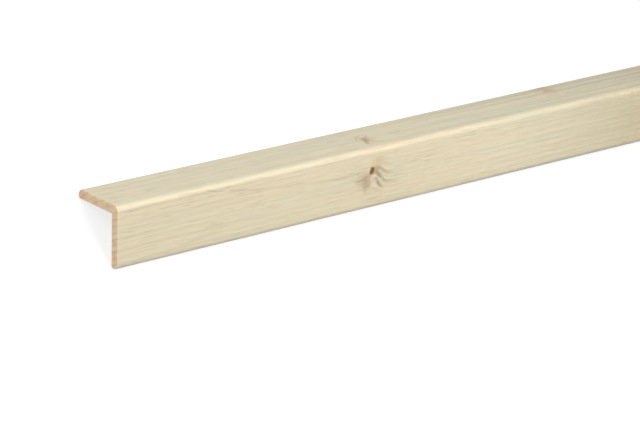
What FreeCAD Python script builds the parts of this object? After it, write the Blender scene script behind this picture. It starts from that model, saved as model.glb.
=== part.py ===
import FreeCAD, Part

import math
import os

# A wooden corner guard: one long strip of planed softwood with an L-shaped section and square
# sawn ends. It lies as such a strip does on a floor, with its outer corner up and the tips of
# its two legs down. X runs along the strip, Y across it and Z up. The origin is on the floor,
# below the middle of the strip.

# Driving dimensions in millimetres
LENGTH = 2400.0
LEG_WIDTH = 33.0
LEG_THICKNESS = 5.0
OUTER_CORNER_RADIUS = 3.0
TIP_OUTER_RADIUS = 3.0
TIP_INNER_RADIUS = 1.0
INNER_CORNER_RADIUS = 0.6

# The legs are square to each other and slope down alike, so a step of 1 along a leg, or square
# into its face, goes this far across and this far down
STEP = math.sqrt(0.5)

# A rounded tip edge leaves some of the leg's thickness for the other edge
tip_outer_radius = min(TIP_OUTER_RADIUS, LEG_THICKNESS - 2 * TIP_INNER_RADIUS)

# The strip rests on the rounded inner edge of each tip. Its section is laid out from the sharp
# corner in which the two outer faces would meet.
tip_inner_reach = LEG_WIDTH - TIP_INNER_RADIUS
tip_inner_depth = LEG_THICKNESS - TIP_INNER_RADIUS
sharp_corner_height = (tip_inner_reach + tip_inner_depth) * STEP + TIP_INNER_RADIUS


def leg_point(side, reach, depth):
    """Gives a point of the section, reach along the leg on this side and depth into its wood."""
    across = side * (reach - depth) * STEP
    height = sharp_corner_height - (reach + depth) * STEP
    return FreeCAD.Vector(-LENGTH / 2, across, height)


def line(start, end):
    """Gives a straight edge of the section."""
    return Part.LineSegment(start, end).toShape()


def arc(start, middle, end):
    """Gives a round edge of the section."""
    return Part.Arc(start, middle, end).toShape()


def leg_outline(side):
    """Gives one leg's edges, from the outer corner round the tip and back to the inner corner."""
    tip_outer_reach = LEG_WIDTH - tip_outer_radius
    outer_face_start = leg_point(side, OUTER_CORNER_RADIUS, 0)
    outer_face_end = leg_point(side, tip_outer_reach, 0)
    outer_edge_middle = leg_point(
        side,
        tip_outer_reach + tip_outer_radius * STEP,
        tip_outer_radius - tip_outer_radius * STEP,
    )
    tip_start = leg_point(side, LEG_WIDTH, tip_outer_radius)
    tip_end = leg_point(side, LEG_WIDTH, tip_inner_depth)
    inner_edge_middle = leg_point(
        side,
        tip_inner_reach + TIP_INNER_RADIUS * STEP,
        tip_inner_depth + TIP_INNER_RADIUS * STEP,
    )
    inner_face_start = leg_point(side, tip_inner_reach, LEG_THICKNESS)
    inner_face_end = leg_point(side, LEG_THICKNESS + INNER_CORNER_RADIUS, LEG_THICKNESS)
    return [
        line(outer_face_start, outer_face_end),
        arc(outer_face_end, outer_edge_middle, tip_start),
        line(tip_start, tip_end),
        arc(tip_end, inner_edge_middle, inner_face_start),
        line(inner_face_start, inner_face_end),
    ]


def corner_arc(radius, depth):
    """Gives the round edge on the line of symmetry that joins both legs at this depth."""
    turn = depth + radius - radius * STEP
    return arc(
        leg_point(-1, depth + radius, depth),
        leg_point(1, turn, turn),
        leg_point(1, depth + radius, depth),
    )


def section():
    """Gives the strip's section as a face at its near end."""
    edges = leg_outline(-1) + leg_outline(1)
    edges.append(corner_arc(OUTER_CORNER_RADIUS, 0))
    edges.append(corner_arc(INNER_CORNER_RADIUS, LEG_THICKNESS))
    return Part.Face(Part.Wire(Part.sortEdges(edges)[0]))


corner_moulding = section().extrude(FreeCAD.Vector(LENGTH, 0, 0))

os.makedirs("parts", exist_ok=True)
corner_moulding.exportStep("parts/corner_moulding.step")
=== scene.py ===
"""Looks of a softwood corner guard moulding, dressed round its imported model."""

import logging
import math
from dataclasses import dataclass, field
from enum import Enum
from typing import Sequence

import bmesh
import bpy
from mathutils import Matrix, Vector

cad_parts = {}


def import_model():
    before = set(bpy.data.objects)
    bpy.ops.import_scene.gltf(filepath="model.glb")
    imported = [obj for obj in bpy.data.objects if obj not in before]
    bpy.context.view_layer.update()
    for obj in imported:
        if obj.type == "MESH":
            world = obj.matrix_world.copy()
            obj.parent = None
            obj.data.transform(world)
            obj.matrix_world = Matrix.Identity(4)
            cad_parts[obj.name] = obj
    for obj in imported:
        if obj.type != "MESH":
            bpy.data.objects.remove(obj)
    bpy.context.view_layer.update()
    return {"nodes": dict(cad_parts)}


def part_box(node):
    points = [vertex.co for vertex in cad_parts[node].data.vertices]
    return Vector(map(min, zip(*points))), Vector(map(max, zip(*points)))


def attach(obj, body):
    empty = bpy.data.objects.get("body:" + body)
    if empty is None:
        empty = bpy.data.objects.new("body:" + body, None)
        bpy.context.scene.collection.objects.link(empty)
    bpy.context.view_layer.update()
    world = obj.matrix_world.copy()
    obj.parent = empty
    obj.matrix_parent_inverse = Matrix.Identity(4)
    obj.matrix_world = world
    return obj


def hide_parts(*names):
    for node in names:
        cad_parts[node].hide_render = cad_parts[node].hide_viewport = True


logging.basicConfig(level=logging.INFO, format="%(name)s: %(message)s")
log = logging.getLogger("corner_moulding")

MM = 0.001
MM_PER_METRE = 1000.0
BODY = "root"
CAD_NODE = "corner_moulding"

# The strip lies with its outer corner up. Seen along it, each leg slopes down at this angle.
LEG_SLOPE = math.radians(45.0)

# How far a face's normal points along the strip where the face belongs to a sawn end, and where
# it is the flat of that end and not its softened rim
END_FACING = 0.5
END_FLAT = 0.99

# A screen's colour curve: straight up to the knee, and a power above it
SCREEN_TOP = 255.0
SCREEN_KNEE = 0.04045
SCREEN_SLOPE = 12.92
SCREEN_OFFSET = 0.055
SCREEN_POWER = 2.4

# The middle of the values that Blender's noise gives
NOISE_MIDDLE = 0.5

# Sums on vectors whose result is a number
NUMBER_SUMS = ("LENGTH", "DOT_PRODUCT")

Point = tuple[float, float]
Triple = tuple[float, float, float]
Colour = tuple[float, float, float]
Socket = bpy.types.NodeSocket

# What a node can take in: a socket, or a plain value; and for a colour, a socket or a colour
Source = Socket | float | tuple[float, ...]
Paint = Socket | Colour

WHITE: Colour = (1.0, 1.0, 1.0)


def linear(red: int, green: int, blue: int) -> Colour:
    """Turns a colour as a screen shows it into the linear one that a shader takes.

    Args:
        red: Red from 0 to 255.
        green: Green from 0 to 255.
        blue: Blue from 0 to 255.

    Returns:
        The three linear parts, from 0 to 1.
    """
    parts = (value / SCREEN_TOP for value in (red, green, blue))
    red_part, green_part, blue_part = (
        part / SCREEN_SLOPE
        if part <= SCREEN_KNEE
        else ((part + SCREEN_OFFSET) / (1.0 + SCREEN_OFFSET)) ** SCREEN_POWER
        for part in parts
    )
    return red_part, green_part, blue_part


@dataclass(frozen=True)
class Turn:
    """A smooth turn between two levels: before up to start, and after from end on."""

    start: float = 0.0
    end: float = 1.0
    before: float = 0.0
    after: float = 1.0

    def times(self, unit: float) -> "Turn":
        """Gives the same turn with its start and end multiplied by a unit's size."""
        return Turn(self.start * unit, self.end * unit, self.before, self.after)


@dataclass(frozen=True)
class Cloud:
    """Soft random values in space.

    Size is how far one blotch reaches along X, Y and Z, detail is how many finer layers are
    added, and roughness is how strong the finer layers are.
    """

    size: Triple
    detail: float = 1.0
    roughness: float = 0.5


@dataclass(frozen=True)
class Mottle:
    """Soft blotches: a cloud whose values turn from one level to another."""

    cloud: Cloud
    turn: Turn


@dataclass(frozen=True)
class Stray:
    """How far something strays from its plain place: a cloud's values times reach."""

    reach: float
    cloud: Cloud


class Graph:
    """Lays out shader nodes by plain calls, each of which gives the socket with its result."""

    def __init__(self, tree: bpy.types.NodeTree) -> None:
        """Starts on an empty node tree."""
        self.tree = tree
        self.tree.nodes.clear()

    def node(self, kind: str, **settings: object) -> bpy.types.Node:
        """Adds a node.

        Args:
            kind: Blender's name for the node's type.
            **settings: Attributes to set on the node.

        Returns:
            The new node.
        """
        made = self.tree.nodes.new(kind)
        for name, value in settings.items():
            setattr(made, name, value)
        return made

    def feed(self, target: Socket, source: Source) -> None:
        """Links a socket into another, or sets a plain value on it.

        Args:
            target: The socket that takes it in.
            source: A socket or a plain value.
        """
        if isinstance(source, bpy.types.NodeSocket):
            self.tree.links.new(source, target)
        else:
            target.default_value = source

    def math(self, operation: str, *operands: Source) -> Socket:
        """Works on plain numbers.

        Args:
            operation: Blender's name for the sum.
            *operands: One to three sockets or numbers.

        Returns:
            The result's socket.
        """
        made = self.node("ShaderNodeMath", operation=operation)
        for target, source in zip(made.inputs, operands):
            self.feed(target, source)
        return made.outputs[0]

    def product(self, value: Socket, *factors: Source) -> Socket:
        """Multiplies a value by several factors, one after the other.

        Args:
            value: The value's socket.
            *factors: Sockets or numbers.

        Returns:
            The product's socket.
        """
        for factor in factors:
            value = self.math("MULTIPLY", value, factor)
        return value

    def add_up(self, values: Sequence[Socket]) -> Socket:
        """Adds several sockets up.

        Args:
            values: The sockets.

        Returns:
            The sum's socket.
        """
        total = values[0]
        for value in values[1:]:
            total = self.math("ADD", total, value)
        return total

    def largest(self, values: Sequence[Socket]) -> Socket:
        """Finds the largest of several sockets.

        Args:
            values: The sockets.

        Returns:
            The largest value's socket.
        """
        most = values[0]
        for value in values[1:]:
            most = self.math("MAXIMUM", most, value)
        return most

    def bell(self, value: Socket, spread: float) -> Socket:
        """Gives a bell curve, which is 1 where the value is 0 and falls off over spread."""
        squared = self.math("POWER", self.math("DIVIDE", value, spread), 2.0)
        return self.math("EXPONENT", self.math("MULTIPLY", squared, -0.5))

    def vector(self, operation: str, *operands: Source) -> Socket:
        """Works on vectors.

        Args:
            operation: Blender's name for the sum.
            *operands: One to three sockets or triples.

        Returns:
            The result's socket: a number for a length or a dot product, and else a vector.
        """
        made = self.node("ShaderNodeVectorMath", operation=operation)
        for target, source in zip(made.inputs, operands):
            self.feed(target, source)
        return made.outputs["Value" if operation in NUMBER_SUMS else "Vector"]

    def scaled(self, vector: Source, factor: Socket) -> Socket:
        """Makes a vector longer or shorter.

        Args:
            vector: A socket or a triple.
            factor: How many times as long it becomes.

        Returns:
            The new vector's socket.
        """
        made = self.node("ShaderNodeVectorMath", operation="SCALE")
        self.feed(made.inputs["Vector"], vector)
        self.feed(made.inputs["Scale"], factor)
        return made.outputs["Vector"]

    def parts(self, vector: Socket) -> tuple[Socket, Socket, Socket]:
        """Takes a vector apart.

        Args:
            vector: The vector's socket.

        Returns:
            Its X, Y and Z.
        """
        made = self.node("ShaderNodeSeparateXYZ")
        self.feed(made.inputs[0], vector)
        return made.outputs[0], made.outputs[1], made.outputs[2]

    def joined(self, x: Source, y: Source, z: Source) -> Socket:
        """Makes a vector.

        Args:
            x: Its X, a socket or a number.
            y: Its Y.
            z: Its Z.

        Returns:
            The vector's socket.
        """
        made = self.node("ShaderNodeCombineXYZ")
        for target, source in zip(made.inputs, (x, y, z)):
            self.feed(target, source)
        return made.outputs[0]

    def ease(self, value: Socket, turn: Turn) -> Socket:
        """Turns a value smoothly from one level to another.

        Args:
            value: The socket to read.
            turn: Where the turn lies, and its two levels.

        Returns:
            The result's socket.
        """
        made = self.node("ShaderNodeMapRange", interpolation_type="SMOOTHSTEP")
        for name, source in (
            ("Value", value),
            ("From Min", turn.start),
            ("From Max", turn.end),
            ("To Min", turn.before),
            ("To Max", turn.after),
        ):
            self.feed(made.inputs[name], source)
        return made.outputs["Result"]

    def noise(self, place: Socket, cloud: Cloud) -> Socket:
        """Gives soft random values about 0.

        Args:
            place: The place, in the units of the cloud's size.
            cloud: How large and how fine the blotches are.

        Returns:
            A socket of values from about -0.5 to 0.5.
        """
        in_blotches = self.vector("DIVIDE", place, cloud.size)
        made = self.node("ShaderNodeTexNoise", noise_dimensions="3D")
        for name, source in (
            ("Vector", in_blotches),
            ("Scale", 1.0),
            ("Detail", cloud.detail),
            ("Roughness", cloud.roughness),
        ):
            self.feed(made.inputs[name], source)
        return self.math("SUBTRACT", made.outputs[0], NOISE_MIDDLE)

    def noise_along(self, value: Socket, size: float) -> Socket:
        """Gives soft random values about 0 along one value.

        Args:
            value: The socket to read.
            size: How far one blotch reaches.

        Returns:
            A socket of values from about -0.5 to 0.5.
        """
        made = self.node("ShaderNodeTexNoise", noise_dimensions="1D")
        self.feed(made.inputs["W"], self.math("DIVIDE", value, size))
        self.feed(made.inputs["Scale"], 1.0)
        self.feed(made.inputs["Detail"], 1.0)
        return self.math("SUBTRACT", made.outputs[0], NOISE_MIDDLE)

    def mottle(self, place: Socket, mottle: Mottle) -> Socket:
        """Gives soft blotches between the mottle's two levels."""
        return self.ease(self.noise(place, mottle.cloud), mottle.turn)

    def stray(self, place: Socket, stray: Stray) -> Socket:
        """Gives how far something strays here, either way."""
        return self.product(self.noise(place, stray.cloud), stray.reach)

    def random(self, value: Socket) -> Socket:
        """Gives a random value for each whole number.

        Args:
            value: A socket of whole numbers.

        Returns:
            A socket of values from 0 to 1.
        """
        made = self.node("ShaderNodeTexWhiteNoise", noise_dimensions="1D")
        self.feed(made.inputs["W"], value)
        return made.outputs["Value"]

    def blend(self, factor: Source, first: Paint, second: Paint, way: str = "MIX") -> Socket:
        """Mixes two colours.

        Args:
            factor: How much of the second shows, from 0 to 1.
            first: A colour or a socket.
            second: A colour or a socket.
            way: Blender's name for the kind of mix.

        Returns:
            The mixed colour's socket.
        """
        made = self.node("ShaderNodeMix", data_type="RGBA", blend_type=way, clamp_factor=True)
        by_name = {(s.name, s.type): s for s in made.inputs}
        self.feed(by_name[("Factor", "VALUE")], factor)
        for name, source in (("A", first), ("B", second)):
            value = source if isinstance(source, bpy.types.NodeSocket) else (*source, 1.0)
            self.feed(by_name[(name, "RGBA")], value)
        return next(s for s in made.outputs if s.type == "RGBA")

    def shaded(self, colour: Paint, level: Socket) -> Socket:
        """Makes a colour darker where the level is below 1, and lighter above it."""
        return self.blend(1.0, colour, self.joined(level, level, level), "MULTIPLY")

    def bump(self, height: Socket, relief: float) -> Socket:
        """Turns heights into a surface normal.

        Args:
            height: The height's socket.
            relief: How high 1 is, in metres.

        Returns:
            The normal's socket.
        """
        made = self.node("ShaderNodeBump")
        self.feed(made.inputs["Strength"], 1.0)
        self.feed(made.inputs["Distance"], relief)
        self.feed(made.inputs["Height"], height)
        return made.outputs["Normal"]


@dataclass(frozen=True)
class StripSection:
    """Sizes of the strip's section, in metres."""

    leg_width: float = 33.0 * MM
    leg_thickness: float = 5.0 * MM
    outer_corner_radius: float = 3.0 * MM
    tip_outer_radius: float = 3.0 * MM
    tip_inner_radius: float = 1.0 * MM
    inner_corner_radius: float = 0.6 * MM

    @property
    def sharp_corner_height(self) -> float:
        """Height above the floor of the corner in which the two outer faces would meet."""
        tip = self.leg_width + self.leg_thickness - 2 * self.tip_inner_radius
        return tip * math.sin(LEG_SLOPE) + self.tip_inner_radius


@dataclass(frozen=True)
class KnotMarks:
    """One knot's marks: how far it draws the rings out, and how strongly each part shows."""

    pull: Socket
    core: Socket
    collar: Socket
    lines: Socket


@dataclass(frozen=True)
class Branch:
    """A branch that the strip is sawn through. It leaves a knot on each face that it crosses.

    Places are in millimetres from the near end: along the strip, back from the front face and
    up from the top face, with the strip turned so that one leg lies flat. The rings are drawn
    outwards round the branch over spread, less so on the side towards the near end, which is
    its lee. Dark lines fan out from the core towards fan, and the turn fan_width reads the
    cosine of the angle from it. The knot's marks weaken to fades_to about fades_after along the
    branch. The turn core_edge is in core radii, line_reach in spreads and fading in lengths of
    fades_after.
    """

    place: Triple
    heading: Triple
    core_radius: float
    core_strength: float
    collar_radius: float
    collar_strength: float
    pull: float
    spread: float
    line_strength: float
    fades_after: float = 400.0
    fades_to: float = 0.55
    fading: Point = (0.5, 1.5)
    fan: Triple = (0.73, 0.0, -0.68)
    fan_width: Turn = Turn(0.45, 0.85)
    lee: Turn = Turn(-1.5, 3.0, 0.12, 1.0)
    core_edge: Turn = Turn(0.7, 1.3, 1.0, 0.0)
    line_reach: Turn = Turn(0.9, 2.4, 1.0, 0.0)

    def marks(self, graph: Graph, place: Socket, ragged: Socket) -> KnotMarks:
        """Works out the knot's marks.

        Args:
            graph: The growth group's graph.
            place: The place's socket, in millimetres.
            ragged: How far the knot's edges stray here, in millimetres.

        Returns:
            The marks.
        """
        heading = tuple(Vector(self.heading).normalized())
        offset = graph.vector("SUBTRACT", place, self.place)
        run = graph.vector("DOT_PRODUCT", offset, heading)
        aside = graph.vector("SUBTRACT", offset, graph.scaled(heading, run))
        distance = graph.vector("LENGTH", aside)
        rough_distance = graph.math("ADD", distance, ragged)
        fade = graph.ease(run, Turn(*self.fading, 1.0, self.fades_to).times(self.fades_after))

        bell = graph.bell(distance, self.spread)
        lee = graph.ease(graph.parts(aside)[0], self.lee)
        core = graph.ease(rough_distance, self.core_edge.times(self.core_radius))
        collar = graph.ease(rough_distance, Turn(self.core_radius, self.collar_radius, 1.0, 0.0))

        fan = tuple(Vector(self.fan).normalized())
        toward = graph.math("DIVIDE", graph.vector("DOT_PRODUCT", aside, fan), distance)
        toward = graph.ease(toward, self.fan_width)
        reach = graph.ease(distance, self.line_reach.times(self.spread))
        return KnotMarks(
            pull=graph.product(bell, self.pull, lee, fade),
            core=graph.product(core, self.core_strength, fade),
            collar=graph.product(collar, self.collar_strength),
            lines=graph.product(reach, toward, self.line_strength, fade),
        )


MAIN_BRANCH = Branch(
    place=(160.9, 0.0, -12.1),
    heading=(5.2, 12.3, 12.1),
    core_radius=1.5,
    core_strength=1.0,
    collar_radius=3.4,
    collar_strength=0.55,
    pull=6.0,
    spread=6.0,
    line_strength=0.3,
    fades_after=8.0,
    fades_to=0.12,
)
# The branches beyond the photograph, each with its fields from place to line_strength in order
FARTHER_BRANCHES = (
    Branch((712.0, 0.0, -22.0), (4.0, 11.0, 13.0), 1.1, 0.75, 4.0, 0.7, 4.6, 5.0, 0.7),
    Branch((1046.0, 21.0, 0.0), (-5.0, 12.0, 14.0), 1.8, 0.35, 5.0, 0.8, 4.0, 5.0, 0.5),
    Branch((1389.0, 0.0, -9.0), (6.0, 12.0, 12.0), 0.9, 0.9, 3.2, 0.6, 4.2, 4.6, 0.8),
    Branch((1820.0, 9.0, 0.0), (5.0, 10.0, 15.0), 2.1, 0.5, 5.5, 0.8, 5.0, 6.0, 0.6),
    Branch((2150.0, 0.0, -27.0), (-4.0, 13.0, 11.0), 1.2, 0.8, 4.2, 0.7, 5.0, 5.0, 0.7),
)


@dataclass(frozen=True)
class Growth:
    """How the tree grew: yearly rings about a pith that lies outside the strip, and branches.

    Sizes are in millimetres, in the same places as for a Branch. The rings' places stray by
    unevenness over about uneven_over rings, and the finer lines' by fine_stray over about
    fine_stray_over. Each ring's dark late wood, and each finer line, darkens over a share of its
    width and stops line_stop after it. The sizes of the blotches in late_patches and
    fine_patches are in millimetres along the strip and in rings across it, and fine_layer keeps
    the second apart from the first.
    """

    pith_back: float = -18.0
    pith_up: float = -68.0
    pith_lean_back: float = 0.004
    pith_lean_up: float = -0.008
    slow_sway: Stray = Stray(4.0, Cloud((230.0, 46.0, 46.0), 1.0))
    quick_sway: Stray = Stray(0.8, Cloud((38.0, 8.0, 8.0), 2.0))
    ring_width: float = 3.1
    uneven_over: float = 2.3
    unevenness: float = 0.5
    late_share: Point = (0.30, 0.88)
    weakest_ring: float = 0.65
    late_patches: Mottle = Mottle(Cloud((55.0, 1.7, 1.0), 1.0), Turn(-0.22, 0.18, 0.5, 1.0))
    fine_lines: float = 3.0
    fine_share: Point = (0.2, 0.7)
    fine_stray_over: float = 0.6
    fine_stray: float = 1.2
    fine_layer: float = 4.0
    fine_patches: Mottle = Mottle(Cloud((24.0, 0.5, 1.0), 1.0), Turn(-0.1, 0.25))
    line_stop: float = 0.04
    knot_edge: Stray = Stray(0.9, Cloud((2.2, 1.2, 1.2), 2.0))
    branches: tuple[Branch, ...] = (MAIN_BRANCH, *FARTHER_BRANCHES)

    def group(self) -> bpy.types.NodeTree:
        """Builds the node group that both finishes share.

        Returns:
            A group that reads a Place in millimetres and gives Late, the dark part of each
            ring, Fine, the fainter lines between the rings, and Core, Collar and Lines of the
            knots.
        """
        tree = bpy.data.node_groups.new("softwood_growth", "ShaderNodeTree")
        tree.interface.new_socket("Place", in_out="INPUT", socket_type="NodeSocketVector")
        for name in ("Late", "Fine", "Core", "Collar", "Lines"):
            tree.interface.new_socket(name, in_out="OUTPUT", socket_type="NodeSocketFloat")
        graph = Graph(tree)
        place = graph.node("NodeGroupInput").outputs["Place"]
        out = graph.node("NodeGroupOutput")

        ragged = graph.stray(place, self.knot_edge)
        knots = [branch.marks(graph, place, ragged) for branch in self.branches]
        pull = graph.add_up([knot.pull for knot in knots])
        count = self._rings(graph, place, pull)
        late = self._line(graph, count, self.late_share)
        strength = graph.ease(
            graph.random(graph.math("FLOOR", count)), Turn(before=self.weakest_ring)
        )
        along = graph.parts(place)[0]
        patchy = graph.mottle(graph.joined(along, count, 0.0), self.late_patches)
        graph.feed(out.inputs["Late"], graph.product(late, strength, patchy))
        graph.feed(out.inputs["Fine"], self._fine(graph, along, count))

        lines = graph.product(graph.largest([knot.lines for knot in knots]), late)
        graph.feed(out.inputs["Lines"], lines)
        graph.feed(out.inputs["Core"], graph.largest([knot.core for knot in knots]))
        graph.feed(out.inputs["Collar"], graph.largest([knot.collar for knot in knots]))
        return tree

    def _rings(self, graph: Graph, place: Socket, pull: Socket) -> Socket:
        """Counts the rings outwards from the pith, which wanders as the tree leaned and swayed.

        Args:
            graph: The group's graph.
            place: The place's socket, in millimetres.
            pull: How far the branches draw the rings out here.

        Returns:
            The count's socket. It rises by 1 over each ring, some of which are wider.
        """
        along, back, up = graph.parts(place)
        from_pith = [
            graph.math("SUBTRACT", graph.math("MULTIPLY_ADD", along, lean, side), pith)
            for side, lean, pith in (
                (back, self.pith_lean_back, self.pith_back),
                (up, self.pith_lean_up, self.pith_up),
            )
        ]
        straight = graph.vector("LENGTH", graph.joined(0.0, *from_pith))
        sways = [graph.stray(place, sway) for sway in (self.slow_sway, self.quick_sway)]
        radius = graph.add_up([straight, *sways])
        count = graph.math("DIVIDE", graph.math("SUBTRACT", radius, pull), self.ring_width)
        uneven = graph.product(graph.noise_along(count, self.uneven_over), self.unevenness)
        return graph.math("ADD", count, uneven)

    def _fine(self, graph: Graph, along: Socket, count: Socket) -> Socket:
        """Draws the fainter lines between the rings.

        Args:
            graph: The group's graph.
            along: The place along the strip, in millimetres.
            count: The count of the rings.

        Returns:
            A socket from 0 to 1.
        """
        stray = graph.noise_along(count, self.fine_stray_over)
        fine_count = graph.math("MULTIPLY_ADD", stray, self.fine_stray, count)
        line = self._line(graph, graph.product(fine_count, self.fine_lines), self.fine_share)
        patchy = graph.mottle(graph.joined(along, count, self.fine_layer), self.fine_patches)
        return graph.product(line, patchy)

    def _line(self, graph: Graph, count: Socket, share: Point) -> Socket:
        """Draws lines that darken over a share of each whole count, and then stop short.

        Args:
            graph: The group's graph.
            count: The count's socket.
            share: Where the line starts and is darkest, from 0 to 1.

        Returns:
            A socket from 0 to 1.
        """
        within = graph.math("FRACT", count)
        darkening = graph.ease(within, Turn(*share))
        stop = graph.ease(within, Turn(share[1] + self.line_stop, 1.0, 1.0, 0.0))
        return graph.product(darkening, stop)


@dataclass(frozen=True)
class SharedMarks:
    """Soft random values that the marks of one finish share."""

    ragged: Cloud = Cloud((4.5, 1.3, 1.3), 2.0)
    waver: Cloud = Cloud((7.0, 9.0, 9.0), 1.0)
    uneven: Mottle = Mottle(Cloud((9.0, 3.0, 3.0), 1.0), Turn(-0.25, 0.1, 0.45, 1.0))


@dataclass(frozen=True)
class Spot:
    """The place that a finish paints, with the sockets of the values that its marks share."""

    place: Socket
    along: Socket
    back: Socket
    up: Socket
    ragged: Socket
    waver: Socket
    uneven: Socket

    @classmethod
    def at(cls, graph: Graph, place: Socket) -> "Spot":
        """Works out the shared values.

        Args:
            graph: The graph of the finish.
            place: The place's socket, in millimetres.

        Returns:
            The spot.
        """
        along, back, up = graph.parts(place)
        shared = SharedMarks()
        return cls(
            place=place,
            along=along,
            back=back,
            up=up,
            ragged=graph.noise(place, shared.ragged),
            waver=graph.noise(place, shared.waver),
            uneven=graph.mottle(place, shared.uneven),
        )


@dataclass(frozen=True)
class Patch:
    """A soft patch of another colour, in the same places as for a Branch. Some patches are marks
    in the wood, and some are painted light and shade.

    Its edge is drawn out along the grain by up to about a quarter of ragged times its reach.
    """

    place: Triple
    reach: Triple
    colour: Colour
    strength: float
    ragged: float = 1.0

    def show(self, graph: Graph, spot: Spot, colour: Paint) -> Socket:
        """Lays the patch over a colour.

        Args:
            graph: The graph of the finish.
            spot: The place that is painted.
            colour: The colour, or its socket.

        Returns:
            The new colour's socket.
        """
        offset = graph.vector("SUBTRACT", spot.place, self.place)
        distance = graph.vector("LENGTH", graph.vector("DIVIDE", offset, self.reach))
        distance = graph.math("MULTIPLY_ADD", spot.ragged, self.ragged, distance)
        fading = Turn(before=self.strength, after=0.0)
        return graph.blend(graph.ease(distance, fading), colour, self.colour)


class Face(Enum):
    """The two outer faces, as they lie in the photograph."""

    FRONT = "front"
    TOP = "top"


@dataclass(frozen=True)
class GrainAndShadeLine:
    """A darker line that runs aslant over one face, and thins and fades as it goes: most are lines
    of grain, and one is painted shade.

    Points are in millimetres: along the strip from the near end, and then up from the top face
    for a line on the front, or back from the front face for one on the top. The line reaches its
    strength over the distance swell, from faintest of it, and starts lead_in of that distance
    early. It goes depth into the wood, and fades over the last part of that, from sound on. The
    turn edge is in widths of the line.
    """

    face: Face
    points: tuple[Point, ...]
    width: float
    end_width: float
    strength: float
    end_strength: float
    wander: float = 0.5
    swell: float = 2.5
    lead_in: float = 0.2
    faintest: float = 0.1
    depth: float = 1.5
    sound: float = 0.5
    edge: Turn = Turn(0.1, 0.75, 1.0, 0.0)

    def mark(self, graph: Graph, spot: Spot) -> Socket:
        """Gives how strongly the line shows.

        Args:
            graph: The graph of the finish.
            spot: The place that is painted.

        Returns:
            A socket from 0 to strength.
        """
        first, last = self.points[0][0], self.points[-1][0]
        across, inward = (spot.up, spot.back) if self.face is Face.FRONT else (spot.back, spot.up)
        fading = Turn(first, last, self.strength, self.end_strength)
        swelling = Turn(
            first - self.swell * self.lead_in, first + self.swell, self.faintest, 1.0
        )
        skin = Turn(self.depth * self.sound, self.depth, 1.0, 0.0)
        strength = graph.product(
            graph.ease(spot.along, fading),
            graph.ease(spot.along, swelling),
            graph.ease(graph.math("ABSOLUTE", inward), skin),
        )
        width = graph.ease(spot.along, Turn(first, last, self.width, self.end_width))
        shifted = graph.math("MULTIPLY_ADD", spot.waver, self.wander, across)
        here = graph.joined(spot.along, shifted, 0.0)
        nearest = self._distance(graph, here, self.points[0], self.points[1])
        for start, end in zip(self.points[1:], self.points[2:]):
            nearest = graph.math("MINIMUM", nearest, self._distance(graph, here, start, end))
        line = graph.ease(graph.math("DIVIDE", nearest, width), self.edge)
        return graph.product(line, strength, spot.uneven)

    def _distance(self, graph: Graph, here: Socket, start: Point, end: Point) -> Socket:
        """Measures how far it is to one straight piece of the line.

        Args:
            graph: The graph of the finish.
            here: The place on the face.
            start: Where the piece starts.
            end: Where it ends.

        Returns:
            The distance's socket, in millimetres.
        """
        reach = Vector((end[0] - start[0], end[1] - start[1], 0.0))
        offset = graph.vector("SUBTRACT", here, (*start, 0.0))
        share = graph.vector("DOT_PRODUCT", offset, tuple(reach / reach.length_squared))
        share = graph.math("MAXIMUM", graph.math("MINIMUM", share, 1.0), 0.0)
        nearest = graph.scaled(tuple(reach), share)
        return graph.vector("LENGTH", graph.vector("SUBTRACT", offset, nearest))


@dataclass(frozen=True)
class Softwood:
    """Ground that the wood's finishes share: where the pattern lies on the strip."""

    growth: bpy.types.NodeTree
    section: StripSection
    length: float
    refraction: float = 1.5

    def start(self, name: str) -> tuple[bpy.types.Material, Graph]:
        """Makes an empty node material.

        Args:
            name: The material's name.

        Returns:
            The material, and the graph of its nodes.
        """
        material = bpy.data.materials.new(name)
        material.use_nodes = True
        return material, Graph(material.node_tree)

    def place(self, graph: Graph) -> Socket:
        """Finds the place on the strip, turned back so that one leg lies flat.

        Args:
            graph: The graph of the finish.

        Returns:
            The place's socket, in millimetres from the near end.
        """
        height = self.section.sharp_corner_height * MM_PER_METRE * math.sin(LEG_SLOPE)
        made = graph.node("ShaderNodeMapping", vector_type="POINT")
        graph.feed(made.inputs["Vector"], graph.node("ShaderNodeTexCoord").outputs["Object"])
        made.inputs["Scale"].default_value = (MM_PER_METRE,) * 3
        made.inputs["Rotation"].default_value = (LEG_SLOPE, 0.0, 0.0)
        made.inputs["Location"].default_value = (self.length / 2 * MM_PER_METRE, height, -height)
        return made.outputs[0]

    def grown(self, graph: Graph, place: Socket) -> bpy.types.Node:
        """Adds the growth group.

        Args:
            graph: The graph of the finish.
            place: The place's socket, in millimetres.

        Returns:
            The group's node.
        """
        made = graph.node("ShaderNodeGroup", node_tree=self.growth)
        graph.feed(made.inputs["Place"], place)
        return made

    def shade(self, graph: Graph, colour: Socket, roughness: Socket, normal: Socket) -> None:
        """Adds the surface shader and the output.

        Args:
            graph: The graph of the finish.
            colour: The wood's colour.
            roughness: How rough it is.
            normal: The surface normal with its bumps.
        """
        surface = graph.node("ShaderNodeBsdfPrincipled")
        surface.inputs["IOR"].default_value = self.refraction
        graph.feed(surface.inputs["Base Color"], colour)
        graph.feed(surface.inputs["Roughness"], roughness)
        graph.feed(surface.inputs["Normal"], normal)
        output = graph.node("ShaderNodeOutputMaterial")
        graph.feed(output.inputs["Surface"], surface.outputs[0])


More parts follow.
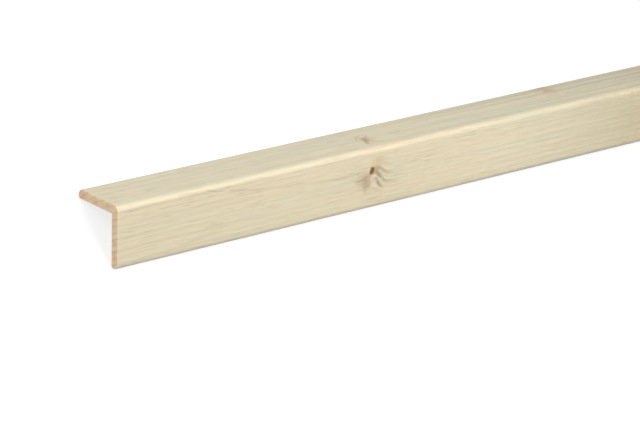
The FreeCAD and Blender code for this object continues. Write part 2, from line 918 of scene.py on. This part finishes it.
@dataclass(frozen=True)
class PlanedFaces(Softwood):
    """Bare planed wood on the faces that run along the strip, with painted light and shade laid
    over it in broad patches and in one line below the rounded corner.

    Sizes are in millimetres, and turns named near, far, corner or edge read places as for a
    Branch. Heights are in units of relief, which is in metres.
    """

    early: Colour = linear(229, 218, 191)
    late: Colour = linear(198, 180, 142)
    cool: Colour = linear(248, 251, 247)
    warm: Colour = linear(255, 250, 244)
    collar: Colour = linear(216, 190, 152)
    line: Colour = linear(150, 126, 90)
    core: Colour = linear(108, 82, 46)

    rings_near: Turn = Turn(80.0, 150.0, 1.9, 1.0)
    rings_far: Turn = Turn(190.0, 310.0, 0.12, 0.288)
    rings_by_corner: Turn = Turn(2.0, 6.0, 0.1, 1.0)
    fine_strength: float = 0.16
    strokes: Mottle = Mottle(Cloud((13.0, 0.8, 0.8), 2.0, 0.6), Turn(-0.02, 0.22))
    stroke_patches: Mottle = Mottle(Cloud((46.0, 9.0, 9.0), 1.0), Turn(-0.2, 0.15, 0.1, 0.6))
    strokes_far: Turn = Turn(180.0, 280.0, 1.0, 0.5)

    tone: Mottle = Mottle(Cloud((120.0, 13.0, 13.0), 2.0), Turn(-0.3, 0.3))
    fibre: Cloud = Cloud((30.0, 0.35, 0.35), 3.0, 0.6)
    fibre_shade: Turn = Turn(-0.25, 0.25, 0.925, 1.06)
    bands: Mottle = Mottle(Cloud((110.0, 3.6, 3.6), 1.0), Turn(-0.2, 0.2, 0.985, 1.01))
    top_bands: Stray = Stray(-0.96, Cloud((380.0, 5.0, 90.0), 1.0))
    top_bands_far: Turn = Turn(130.0, 270.0, 0.22, 0.85)
    top_bands_by_corner: Turn = Turn(1.5, 7.0)
    top_bands_by_edge: Turn = Turn(24.0, 31.0, 1.0, 0.2)

    collar_strength: float = 0.6
    knot_line_strength: float = 0.8
    canals: Mottle = Mottle(Cloud((5.0, 0.13, 0.13), 1.0), Turn(0.2, 0.3, 0.0, 0.3))

    roughness: Turn = Turn(0.0, 1.0, 0.46, 0.40)
    knife_pitch: float = 1.6
    ring_height: float = 0.5
    fibre_height: float = 0.9
    knife_height: float = 0.03
    core_height: float = -3.0
    relief: float = 0.03 * MM

    # Each patch has its place, reach, colour and strength, and ragged where it isn't 1
    painted_light_patches: tuple[Patch, ...] = (
        # painted light: a cooler, greener tint on the top face, standing in for the cooler light
        # that falls on it
        Patch((270.0, 17.0, 0.0), (110.0, 26.0, 8.0), linear(216, 213, 184), 0.5),
        # painted light: a lighter stretch of the front, standing in for more light falling there
        Patch((258.0, 0.0, -16.0), (95.0, 8.0, 26.0), linear(246, 235, 208), 0.5),
        # painted shade: the front and then the top made darker towards the far part, where the
        # light falls off
        Patch((400.0, 0.0, -16.0), (100.0, 14.0, 40.0), linear(204, 188, 150), 0.62),
        Patch((420.0, 20.0, 0.0), (170.0, 30.0, 12.0), linear(204, 192, 160), 0.6),
    )
    patches: tuple[Patch, ...] = (
        Patch((155.6, 0.0, -16.4), (7.4, 5.0, 8.4), linear(190, 166, 130), 0.62),
        Patch((157.4, 0.0, -18.2), (4.2, 5.0, 7.4), linear(168, 140, 100), 0.55, 0.8),
        Patch((159.4, 0.0, -16.8), (1.5, 4.0, 5.4), linear(190, 158, 104), 0.55),
        Patch((162.4, 0.0, -18.6), (3.2, 5.0, 6.6), linear(232, 213, 186), 0.6),
        Patch((165.2, 0.0, -7.6), (8.4, 5.0, 5.6), linear(206, 186, 146), 0.7),
        Patch((163.4, 0.0, -12.4), (3.5, 5.0, 3.5), linear(190, 156, 106), 0.8),
        Patch((167.6, 13.2, 0.0), (7.4, 8.8, 3.0), linear(216, 190, 146), 0.8),
        Patch((166.8, 13.6, 0.0), (3.2, 5.4, 2.0), linear(168, 130, 86), 0.62, 0.8),
        Patch((164.2, 8.8, 0.0), (2.4, 3.0, 2.0), linear(176, 142, 100), 0.5, 0.8),
        Patch((307.0, 24.8, 0.0), (10.5, 9.6, 6.0), linear(212, 182, 136), 0.8, 1.4),
        Patch((307.4, 26.0, 0.0), (6.0, 6.0, 5.0), linear(204, 168, 122), 0.5, 1.4),
        Patch((305.6, 29.6, -1.0), (9.0, 3.4, 3.0), linear(166, 144, 112), 0.6),
        Patch((26.4, 11.2, 0.0), (3.6, 4.0, 3.0), linear(196, 178, 146), 0.35),
    )
    grain_and_shade_lines: tuple[GrainAndShadeLine, ...] = (
        # painted shade: a darker line along the front just below the rounded corner, which ends
        # the corner's highlight sharply on that side
        GrainAndShadeLine(
            Face.FRONT,
            ((0.0, -3.0), (150.0, -2.9)),
            width=2.0,
            end_width=1.6,
            strength=0.17,
            end_strength=0.08,
        ),
        GrainAndShadeLine(
            Face.FRONT,
            (
                (163.0, -10.7),
                (166.0, -11.6),
                (168.6, -13.2),
                (171.1, -14.9),
                (173.5, -15.8),
                (178.0, -16.7),
            ),
            width=2.1,
            end_width=1.2,
            strength=0.68,
            end_strength=0.05,
        ),
        GrainAndShadeLine(
            Face.FRONT,
            (
                (162.9, -12.8),
                (165.2, -14.7),
                (167.1, -16.5),
                (169.0, -18.3),
                (171.2, -19.4),
                (177.0, -20.4),
            ),
            width=2.1,
            end_width=1.2,
            strength=0.84,
            end_strength=0.05,
        ),
        GrainAndShadeLine(
            Face.FRONT,
            ((163.4, -16.6), (164.7, -18.7), (166.2, -20.6), (168.2, -21.9), (172.5, -22.6)),
            width=2.1,
            end_width=1.2,
            strength=0.88,
            end_strength=0.05,
        ),
        GrainAndShadeLine(
            Face.FRONT,
            ((53.6, -2.0), (56.5, -2.8), (59.5, -3.7), (65.0, -4.2)),
            width=1.0,
            end_width=1.1,
            strength=0.38,
            end_strength=0.2,
        ),
        GrainAndShadeLine(
            Face.FRONT,
            ((65.0, -4.3), (76.0, -6.1), (86.0, -7.9), (96.0, -9.0)),
            width=1.5,
            end_width=1.6,
            strength=0.25,
            end_strength=0.1,
            swell=5.0,
        ),
        GrainAndShadeLine(
            Face.FRONT,
            ((97.0, -9.2), (107.0, -10.1), (113.0, -9.9), (121.0, -10.6), (130.0, -11.6)),
            width=1.1,
            end_width=1.3,
            strength=0.3,
            end_strength=0.08,
            swell=12.0,
        ),
        GrainAndShadeLine(
            Face.FRONT,
            ((127.0, -11.6), (137.0, -12.4), (146.0, -12.5), (152.0, -12.0)),
            width=1.2,
            end_width=1.6,
            strength=0.22,
            end_strength=0.3,
            swell=10.0,
        ),
        GrainAndShadeLine(
            Face.FRONT,
            ((149.0, -16.6), (153.0, -16.4), (157.5, -15.0)),
            width=1.2,
            end_width=1.4,
            strength=0.2,
            end_strength=0.35,
        ),
        GrainAndShadeLine(
            Face.TOP,
            ((163.2, 7.4), (164.9, 10.2), (166.6, 13.2), (168.6, 16.0), (171.4, 18.2)),
            width=2.2,
            end_width=1.6,
            strength=0.26,
            end_strength=0.26,
            swell=1.5,
        ),
        GrainAndShadeLine(
            Face.TOP,
            ((160.4, 12.6), (162.2, 15.4), (164.6, 18.4), (168.0, 20.0), (172.0, 19.0)),
            width=1.7,
            end_width=1.3,
            strength=0.24,
            end_strength=0.24,
        ),
        GrainAndShadeLine(
            Face.TOP,
            ((167.6, 10.4), (169.4, 8.8), (172.5, 7.0), (180.0, 5.6)),
            width=1.8,
            end_width=1.2,
            strength=0.3,
            end_strength=0.05,
        ),
    )

    def material(self) -> bpy.types.Material:
        """Builds the finish.

        Returns:
            The node material.
        """
        material, graph = self.start("planed_softwood")
        place = self.place(graph)
        grown = self.grown(graph, place)
        spot = Spot.at(graph, place)
        fibre = graph.noise(place, self.fibre)
        colour = self._grain(graph, spot, grown)
        colour = graph.shaded(colour, self._shading(graph, spot, fibre))
        colour = self._marks(graph, spot, grown, colour)
        roughness = graph.ease(grown.outputs["Late"], self.roughness)
        knives = graph.math("SINE", graph.product(spot.along, math.tau / self.knife_pitch))
        height = graph.add_up(
            [
                graph.product(grown.outputs["Late"], self.ring_height),
                graph.product(fibre, self.fibre_height),
                graph.product(knives, self.knife_height),
                graph.product(grown.outputs["Core"], self.core_height),
            ]
        )
        self.shade(graph, colour, roughness, graph.bump(height, self.relief))
        return material

    def _grain(self, graph: Graph, spot: Spot, grown: bpy.types.Node) -> Socket:
        """Paints the wood with painted light and shade in broad patches, and with its rings, fine
        lines and strokes.

        Args:
            graph: The graph of the finish.
            spot: The place that is painted.
            grown: The growth group's node.

        Returns:
            The colour's socket.
        """
        colour = self.early
        # painted light and shade: a cooler top, a lighter stretch of the front and darker far
        # parts of both faces
        for patch in self.painted_light_patches:
            colour = patch.show(graph, spot, colour)
        ring_strength = graph.product(
            graph.ease(spot.along, self.rings_near),
            graph.ease(spot.along, self.rings_far),
            graph.ease(graph.math("SUBTRACT", spot.back, spot.up), self.rings_by_corner),
            grown.outputs["Late"],
        )
        colour = graph.blend(ring_strength, colour, self.late)
        fine_mark = graph.product(grown.outputs["Fine"], self.fine_strength)
        colour = graph.blend(fine_mark, colour, self.late)
        patchy = graph.product(
            graph.mottle(spot.place, self.stroke_patches),
            graph.ease(spot.along, self.strokes_far),
        )
        strokes = graph.mottle(spot.place, self.strokes)
        colour = graph.blend(graph.product(strokes, patchy), colour, self.late)
        tone = graph.blend(graph.mottle(spot.place, self.tone), self.cool, self.warm)
        return graph.blend(1.0, colour, tone, "MULTIPLY")

    def _shading(self, graph: Graph, spot: Spot, fibre: Socket) -> Socket:
        """Works out how light or dark the wood is, with broad bands on the top face.

        Args:
            graph: The graph of the finish.
            spot: The place that is painted.
            fibre: The fibre's soft random values.

        Returns:
            A socket of levels about 1.
        """
        top_band = graph.product(
            graph.stray(spot.place, self.top_bands),
            graph.ease(spot.along, self.top_bands_far),
            graph.ease(spot.back, self.top_bands_by_corner),
            graph.ease(spot.back, self.top_bands_by_edge),
        )
        return graph.product(
            graph.ease(fibre, self.fibre_shade),
            graph.mottle(spot.place, self.bands),
            graph.math("ADD", top_band, 1.0),
        )

    def _marks(self, graph: Graph, spot: Spot, grown: bpy.types.Node, colour: Socket) -> Socket:
        """Lays the knots, the patches, the grain lines, a line of painted shade below the rounded
        corner and the resin canals over the wood.

        Args:
            graph: The graph of the finish.
            spot: The place that is painted.
            grown: The growth group's node.
            colour: The wood's colour so far.

        Returns:
            The new colour's socket.
        """
        collar_mark = graph.product(grown.outputs["Collar"], self.collar_strength)
        colour = graph.blend(collar_mark, colour, self.collar)
        for patch in self.patches:
            colour = patch.show(graph, spot, colour)
        knot_line = graph.product(grown.outputs["Lines"], self.knot_line_strength)
        colour = graph.blend(knot_line, colour, self.line)
        # one of these lines is painted shade below the rounded corner, and the others are grain
        for grain_and_shade_line in self.grain_and_shade_lines:
            colour = graph.blend(grain_and_shade_line.mark(graph, spot), colour, self.line)
        colour = graph.blend(graph.mottle(spot.place, self.canals), colour, self.line)
        return graph.blend(grown.outputs["Core"], colour, self.core)


@dataclass(frozen=True)
class SawnEnds(Softwood):
    """End grain, as the saw left it. Sizes and heights are given as for PlanedFaces."""

    early: Colour = linear(238, 213, 178)
    late: Colour = linear(196, 152, 108)
    blotch: Colour = linear(232, 190, 142)
    blush: Colour = linear(236, 194, 160)
    core: Colour = linear(112, 84, 50)

    ring_strength: float = 0.42
    fine_strength: float = 0.3
    blotches: Mottle = Mottle(Cloud((9.0, 3.4, 3.4), 2.0), Turn(0.02, 0.2))
    blotch_strength: float = 0.6
    blushes: Mottle = Mottle(Cloud((40.0, 5.0, 5.0), 1.0), Turn(0.0, 0.2))
    blush_strength: float = 0.5

    pores: Cloud = Cloud((0.4, 0.12, 0.12), 2.0)
    pore_shade: Turn = Turn(-0.2, 0.2, 0.9, 1.06)
    pore_roughness: Turn = Turn(-0.3, 0.3, 0.82, 0.7)
    pore_height: float = 0.8
    kerf: Stray = Stray(1.0, Cloud((1.0, 14.0, 0.5), 2.0))
    relief: float = 0.08 * MM

    patches: tuple[Patch, ...] = (
        Patch((0.0, 19.0, -2.5), (4.0, 3.6, 2.6), linear(232, 186, 124), 0.6),
        Patch((0.0, 8.5, -2.0), (4.0, 3.0, 3.0), linear(228, 176, 134), 0.5),
        Patch((0.0, 29.0, -2.5), (4.0, 5.0, 3.6), linear(228, 176, 132), 0.6),
        Patch((0.0, 13.0, -3.0), (4.0, 2.4, 2.4), linear(234, 204, 186), 0.5),
        Patch((0.0, 3.0, -19.5), (4.0, 3.6, 2.0), linear(218, 162, 128), 0.5),
        Patch((0.0, 3.0, -27.0), (4.0, 4.0, 6.0), linear(232, 184, 136), 0.6),
    )

    def material(self) -> bpy.types.Material:
        """Builds the finish.

        Returns:
            The node material.
        """
        material, graph = self.start("sawn_end_grain")
        place = self.place(graph)
        grown = self.grown(graph, place)
        spot = Spot.at(graph, place)
        blotch_mark = graph.product(graph.mottle(place, self.blotches), self.blotch_strength)
        colour = graph.blend(blotch_mark, self.early, self.blotch)
        blush_mark = graph.product(graph.mottle(place, self.blushes), self.blush_strength)
        colour = graph.blend(blush_mark, colour, self.blush)
        for patch in self.patches:
            colour = patch.show(graph, spot, colour)
        for name, strength in (("Late", self.ring_strength), ("Fine", self.fine_strength)):
            mark = graph.product(grown.outputs[name], strength)
            colour = graph.blend(mark, colour, self.late)
        pores = graph.noise(place, self.pores)
        colour = graph.shaded(colour, graph.ease(pores, self.pore_shade))
        colour = graph.blend(grown.outputs["Core"], colour, self.core)
        roughness = graph.ease(pores, self.pore_roughness)
        kerf = graph.stray(place, self.kerf)
        height = graph.add_up([graph.product(pores, self.pore_height), kerf])
        self.shade(graph, colour, roughness, graph.bump(height, self.relief))
        return material


class Rounding(Enum):
    """How many faces go round a rounded edge.

    The counts are odd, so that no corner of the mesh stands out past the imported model's.
    """

    WIDE = 9
    NARROW = 5


@dataclass
class CornerStrip:
    """The strip: one piece of softwood, planed all round and sawn square at both ends."""

    length: float
    section: StripSection = field(default_factory=StripSection)
    end_edge: float = 0.35 * MM
    end_edge_faces: int = 3
    faces_across: int = 14
    cuts_along: int = 240

    def build(self) -> bpy.types.Object:
        """Builds the strip's mesh in its place.

        Returns:
            The new object, not dressed yet.
        """
        mesh = bmesh.new()
        self._section_face(mesh)
        self._extrude(mesh)
        self._break_sawn_edges(mesh)
        self._cut_along(mesh)
        self._lay_down(mesh)
        bmesh.ops.recalc_face_normals(mesh, faces=mesh.faces[:])
        self._smooth(mesh)
        data = bpy.data.meshes.new("corner_strip")
        mesh.to_mesh(data)
        mesh.free()
        piece = bpy.data.objects.new("corner_strip", data)
        bpy.context.scene.collection.objects.link(piece)
        return piece

    def _section_face(self, mesh: bmesh.types.BMesh) -> None:
        """Draws the section with one leg flat, and rounds its corners.

        Args:
            mesh: The mesh, still empty.
        """
        width, thickness = self.section.leg_width, self.section.leg_thickness
        corners = (
            ((0.0, 0.0), self.section.outer_corner_radius, Rounding.WIDE),
            ((width, 0.0), self.section.tip_outer_radius, Rounding.WIDE),
            ((width, -thickness), self.section.tip_inner_radius, Rounding.NARROW),
            ((thickness, -thickness), self.section.inner_corner_radius, Rounding.NARROW),
            ((thickness, -width), self.section.tip_inner_radius, Rounding.NARROW),
            ((0.0, -width), self.section.tip_outer_radius, Rounding.WIDE),
        )
        points = [mesh.verts.new((0.0, *place)) for place, _, _ in corners]
        mesh.faces.new(points)
        for point, (_, radius, rounding) in zip(points, corners):
            bmesh.ops.bevel(
                mesh,
                geom=[point],
                offset=radius,
                offset_type="OFFSET",
                segments=rounding.value,
                profile=0.5,
                affect="VERTICES",
                material=-1,
            )
        long_edges = [edge for edge in mesh.edges if edge.calc_length() > thickness]
        bmesh.ops.subdivide_edges(mesh, edges=long_edges, cuts=self.faces_across - 1)

    def _extrude(self, mesh: bmesh.types.BMesh) -> None:
        """Draws the section out to the strip's length.

        Args:
            mesh: The mesh, with the section as its only face.
        """
        made = bmesh.ops.extrude_face_region(mesh, geom=mesh.faces[:], use_keep_orig=True)
        far = [item for item in made["geom"] if isinstance(item, bmesh.types.BMVert)]
        bmesh.ops.translate(mesh, verts=far, vec=(self.length, 0.0, 0.0))
        bmesh.ops.recalc_face_normals(mesh, faces=mesh.faces[:])

    def _break_sawn_edges(self, mesh: bmesh.types.BMesh) -> None:
        """Takes the sharpness off the sawn edges, and marks the end faces for their own finish.

        Args:
            mesh: The mesh, drawn out along X.
        """
        rims = [
            edge
            for edge in mesh.edges
            if any(abs(face.normal.x) > END_FACING for face in edge.link_faces)
        ]
        bmesh.ops.bevel(
            mesh,
            geom=rims,
            offset=self.end_edge,
            offset_type="OFFSET",
            segments=self.end_edge_faces,
            profile=0.5,
            affect="EDGES",
            material=-1,
        )
        for face in mesh.faces:
            face.material_index = 1 if abs(face.normal.x) > END_FACING else 0

    def _cut_along(self, mesh: bmesh.types.BMesh) -> None:
        """Divides the long faces along the strip."""
        long_edges = [edge for edge in mesh.edges if edge.calc_length() > self.length / 2]
        bmesh.ops.subdivide_edges(mesh, edges=long_edges, cuts=self.cuts_along, use_grid_fill=True)

    def _lay_down(self, mesh: bmesh.types.BMesh) -> None:
        """Turns the strip so that both tips rest on the floor, and centres it.

        Args:
            mesh: The mesh, with one leg flat and its near end at X 0.
        """
        turn = Matrix.Rotation(-LEG_SLOPE, 3, "X")
        bmesh.ops.rotate(mesh, cent=(0.0, 0.0, 0.0), matrix=turn, verts=mesh.verts[:])
        shift = (-self.length / 2, 0.0, self.section.sharp_corner_height)
        bmesh.ops.translate(mesh, verts=mesh.verts[:], vec=shift)

    def _smooth(self, mesh: bmesh.types.BMesh) -> None:
        """Shades the rounded edges smooth, and keeps the rims of the sawn ends crisp.

        Args:
            mesh: The finished mesh.
        """
        for face in mesh.faces:
            face.smooth = True
        for edge in mesh.edges:
            flat_end = [face for face in edge.link_faces if abs(face.normal.x) > END_FLAT]
            edge.smooth = len(flat_end) != 1

    def dress(self, piece: bpy.types.Object, growth: Growth) -> None:
        """Gives the strip its two finishes.

        Args:
            piece: The strip's object.
            growth: How its tree grew.
        """
        group = growth.group()
        for finish in (PlanedFaces, SawnEnds):
            made = finish(group, self.section, self.length)
            piece.data.materials.append(made.material())

    def place(self, piece: bpy.types.Object) -> None:
        """Puts the strip on its body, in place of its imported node.

        Args:
            piece: The strip's object.
        """
        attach(piece, BODY)
        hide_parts(CAD_NODE)


@dataclass(frozen=True)
class Softbox:
    """A square-on lamp with a large white cloth, hung over the strip.

    Places and sizes are in metres, and its power is in watts.
    """

    name: str
    place: Triple
    aim: Triple
    width: float
    depth: float
    power: float
    tint: Colour = WHITE

    def build(self) -> bpy.types.Object:
        """Builds the lamp.

        Returns:
            The lamp's object, which points at its aim.
        """
        light = bpy.data.lights.new(self.name, "AREA")
        light.shape = "RECTANGLE"
        light.size = self.width
        light.size_y = self.depth
        light.energy = self.power
        light.color = self.tint
        lamp = bpy.data.objects.new(self.name, light)
        lamp.location = self.place
        ray = Vector(self.aim) - Vector(self.place)
        lamp.rotation_euler = ray.to_track_quat("-Z", "Y").to_euler()
        bpy.context.scene.collection.objects.link(lamp)
        return lamp


@dataclass
class Studio:
    """A plain white table top, soft light from above and a pale room."""

    half_width: float = 9.0
    floor_tone: float = 0.34
    floor_lift: float = 0.74
    room_level: float = 0.08
    lamps: tuple[Softbox, ...] = (
        Softbox(
            name="back_softbox",
            place=(-1.70, 0.36, 0.60),
            aim=(-1.5, 0.0, 0.0),
            width=0.4,
            depth=0.4,
            power=2.72,
            tint=(0.93, 1.0, 1.0),
        ),
        Softbox(
            name="front_softbox",
            place=(-1.05, -0.14, 0.60),
            aim=(-1.05, 0.0, 0.0),
            width=0.4,
            depth=0.4,
            power=3.08,
            tint=(1.0, 0.99, 1.0),
        ),
        Softbox(
            name="sheen_softbox",
            place=(-0.50, 0.36, 0.98),
            aim=(-1.15, 0.0, 0.0),
            width=0.35,
            depth=0.35,
            power=0.1,
        ),
        Softbox(
            name="middle_softbox",
            place=(-0.10, 0.0, 1.10),
            aim=(0.0, 0.0, 0.0),
            width=0.6,
            depth=0.5,
            power=1.18,
        ),
        Softbox(
            name="far_softbox",
            place=(1.10, 0.0, 1.50),
            aim=(1.1, 0.0, 0.0),
            width=1.4,
            depth=0.8,
            power=13.6,
        ),
        Softbox(
            name="end_softbox",
            place=(-2.60, -0.15, 0.60),
            aim=(-1.2, 0.0, 0.0),
            width=0.8,
            depth=0.6,
            power=9.3,
        ),
    )

    def build(self) -> list[bpy.types.Object]:
        """Builds the floor, the room's light and the lamps.

        Returns:
            The floor and the lamps.
        """
        floor = self._floor()
        floor.data.materials.append(self._white_table())
        self._room()
        return [floor, *(lamp.build() for lamp in self.lamps)]

    def _floor(self) -> bpy.types.Object:
        """Builds the floor.

        Returns:
            The floor's object.
        """
        mesh = bmesh.new()
        bmesh.ops.create_grid(mesh, x_segments=1, y_segments=1, size=self.half_width)
        data = bpy.data.meshes.new("floor")
        mesh.to_mesh(data)
        mesh.free()
        floor = bpy.data.objects.new("floor", data)
        bpy.context.scene.collection.objects.link(floor)
        return floor

    def _white_table(self) -> bpy.types.Material:
        """Builds the floor's finish, which shows white to the camera and keeps the shadow.

        Returns:
            The node material.
        """
        material = bpy.data.materials.new("white_table")
        material.use_nodes = True
        graph = Graph(material.node_tree)
        matt = graph.node("ShaderNodeBsdfDiffuse")
        matt.inputs["Color"].default_value = (self.floor_tone,) * 3 + (1.0,)
        glow = graph.node("ShaderNodeEmission")
        graph.feed(glow.inputs["Strength"], graph.product(self._seen(graph), self.floor_lift))
        both = graph.node("ShaderNodeAddShader")
        graph.feed(both.inputs[0], matt.outputs[0])
        graph.feed(both.inputs[1], glow.outputs[0])
        output = graph.node("ShaderNodeOutputMaterial")
        graph.feed(output.inputs["Surface"], both.outputs[0])
        return material

    def _seen(self, graph: Graph) -> Socket:
        """Finds the rays that show the room: to the camera, in a reflection or through glass.

        Args:
            graph: The graph of the floor or the room.

        Returns:
            A socket that is 1 for such a ray, and else 0.
        """
        path = graph.node("ShaderNodeLightPath")
        names = ("Is Camera Ray", "Is Glossy Ray", "Is Transmission Ray")
        return graph.largest([path.outputs[name] for name in names])

    def _room(self) -> None:
        """Sets the room's even light, which shows as white."""
        world = bpy.data.worlds.new("pale_room")
        world.use_nodes = True
        bpy.context.scene.world = world
        graph = Graph(world.node_tree)
        background = graph.node("ShaderNodeBackground")
        background.inputs["Color"].default_value = (*WHITE, 1.0)
        level = graph.ease(self._seen(graph), Turn(before=self.room_level))
        graph.feed(background.inputs["Strength"], level)
        output = graph.node("ShaderNodeOutputWorld")
        graph.feed(output.inputs["Surface"], background.outputs[0])


@dataclass(frozen=True)
class ProductView:
    """The camera, as it stands to the strip in the photograph.

    The photograph shows the strip turned so that one leg lies flat. Heading, elevation and
    roll are given for that position, and the camera then turns with the strip as it lies down.
    The near end of the line in which the two outer faces would meet shows at corner_pixel.
    What is nearer or farther than the clip distances, in times the camera's own, isn't shown.
    """

    heading: float = math.radians(39.79)
    elevation: float = math.radians(19.59)
    roll: float = math.radians(1.98)
    distance: float = 1.426
    focal_pixels: float = 2957.0
    corner_pixel: Point = (117.79, 206.95)
    image_size: tuple[int, int] = (640, 424)
    film_width: float = 36.0
    clip_near: float = 0.1
    clip_far: float = 20.0

    def build(self, strip: CornerStrip) -> bpy.types.Object:
        """Builds the camera and makes it the scene's.

        Args:
            strip: The strip, which gives the near end's place.

        Returns:
            The camera's object.
        """
        right, up, back = self._axes()
        metres_per_pixel = self.distance / self.focal_pixels
        across = (self.corner_pixel[0] - self.image_size[0] / 2) * metres_per_pixel
        above = (self.image_size[1] / 2 - self.corner_pixel[1]) * metres_per_pixel
        corner = Vector((-strip.length / 2, 0.0, strip.section.sharp_corner_height))
        stand = corner - right * across - up * above + back * self.distance
        turn = Matrix((right, up, back)).transposed().to_4x4()

        lens = bpy.data.cameras.new("product_view")
        lens.sensor_width = self.film_width
        lens.lens = self.focal_pixels * self.film_width / self.image_size[0]
        lens.clip_start = self.distance * self.clip_near
        lens.clip_end = self.distance * self.clip_far
        camera = bpy.data.objects.new("product_view", lens)
        camera.matrix_world = Matrix.Translation(stand) @ turn
        bpy.context.scene.collection.objects.link(camera)
        bpy.context.scene.camera = camera
        return camera

    def _axes(self) -> tuple[Vector, Vector, Vector]:
        """Works out which way the camera faces, with the strip lying down.

        Returns:
            The camera's right, up and back directions.
        """
        level = Vector((math.cos(self.heading), -math.sin(self.heading), 0.0))
        back = Vector(
            (
                -math.sin(self.heading) * math.cos(self.elevation),
                -math.cos(self.heading) * math.cos(self.elevation),
                math.sin(self.elevation),
            )
        )
        upright = back.cross(level)
        right = math.cos(self.roll) * level + math.sin(self.roll) * upright
        up = math.cos(self.roll) * upright - math.sin(self.roll) * level
        turn = Matrix.Rotation(-LEG_SLOPE, 3, "X")
        return turn @ right, turn @ up, turn @ back


def main() -> None:
    """Builds the strip, the studio and the camera."""
    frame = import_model()
    low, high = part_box(CAD_NODE)
    length = (high - low).x
    log.info("frame with %d node, %.0f mm long", len(frame["nodes"]), length * MM_PER_METRE)

    strip = CornerStrip(length=length)
    piece = strip.build()
    strip.dress(piece, Growth())
    strip.place(piece)
    finishes = ", ".join(material.name for material in piece.data.materials)
    log.info("%s: %d faces, %s", piece.name, len(piece.data.polygons), finishes)

    for made in Studio().build():
        log.info("studio: %s", made.name)
    camera = ProductView().build(strip)
    log.info("camera: %s", camera.name)

    bpy.context.scene.view_settings.view_transform = "Standard"
    bpy.context.view_layer.update()


if __name__ == "__main__":
    main()
